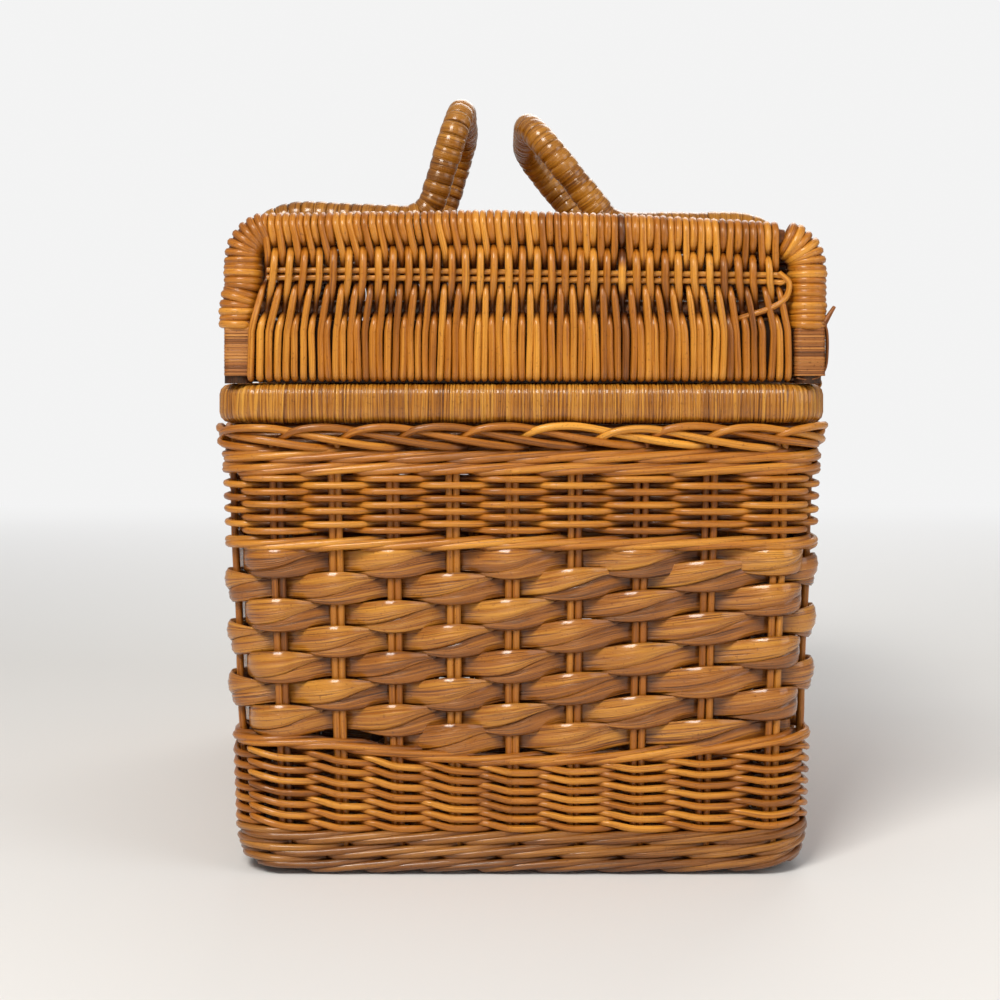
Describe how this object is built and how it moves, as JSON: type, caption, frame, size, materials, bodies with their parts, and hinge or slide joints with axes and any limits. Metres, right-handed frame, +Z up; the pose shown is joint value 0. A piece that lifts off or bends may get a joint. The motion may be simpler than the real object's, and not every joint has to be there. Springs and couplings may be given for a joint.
{
  "type": "sewing basket",
  "caption": "Rectangular woven rattan sewing basket with a deep hinged lid, cane-bound arches at the lid's ends and swinging bound-cane carrying handles.",
  "frame": {"origin": "on the floor under the middle of the basket", "axes": "+X towards the long side where the lid is hinged, +Y along the basket's length, away from the end seen in the picture, +Z up"},
  "size_m": [0.2486, 0.3438, 0.3115],
  "materials": {
    "dark_weave": "satin",
    "rods": "satin",
    "fine_weave": "glossy varnish",
    "wide_splint": "glossy varnish",
    "border_rods": "glossy varnish",
    "peel_binding": "glossy varnish",
    "bound_frame": "glossy varnish",
    "lid_strands": "glossy varnish",
    "bound_handle": "glossy varnish"
  },
  "bodies": {
    "basket": {"base_mat": "dark_weave", "base_sticks": "rods", "stakes": "rods", "base_wale": "dark_weave", "lower_weave": "fine_weave", "wide_weave": "wide_splint", "upper_weave": "fine_weave", "border": "border_rods", "rim_hoop": "peel_binding", "hinge_loops": "peel_binding"},
    "lid": {"lid_frame_front": "bound_frame", "lid_frame_back": "bound_frame", "lid_weave_front": "lid_strands", "lid_weave_back": "lid_strands", "lid_mid_rods_front": "rods", "lid_mid_rods_back": "rods", "lid_crossbar_front": "rods", "lid_crossbar_back": "rods", "lid_rail_left": "bound_frame", "lid_rail_right": "bound_frame", "handle_loops": "bound_handle", "lid_top_weave": "lid_strands", "lid_ribs": "rods", "hinge_rod": "bound_handle", "hinge_lugs": "bound_frame"},
    "handle_left": {"handle_left": "bound_handle"},
    "handle_right": {"handle_right": "bound_handle"}
  },
  "joints": [
    {"name": "lid_hinge", "type": "hinge", "parent": "basket", "child": "lid", "pos_m": [0.1194, 0, 0.1846], "axis": [0, 1, 0], "range_deg": [0, 100]},
    {"name": "handle_left_swing", "type": "hinge", "parent": "lid", "child": "handle_left", "pos_m": [-0.1181, 0, 0.22201], "axis": [0, -1, 0], "range_deg": [0, 165]},
    {"name": "handle_right_swing", "type": "hinge", "parent": "lid", "child": "handle_right", "pos_m": [0.1181, 0, 0.22201], "axis": [0, 1, 0], "range_deg": [0, 145]}
  ]
}
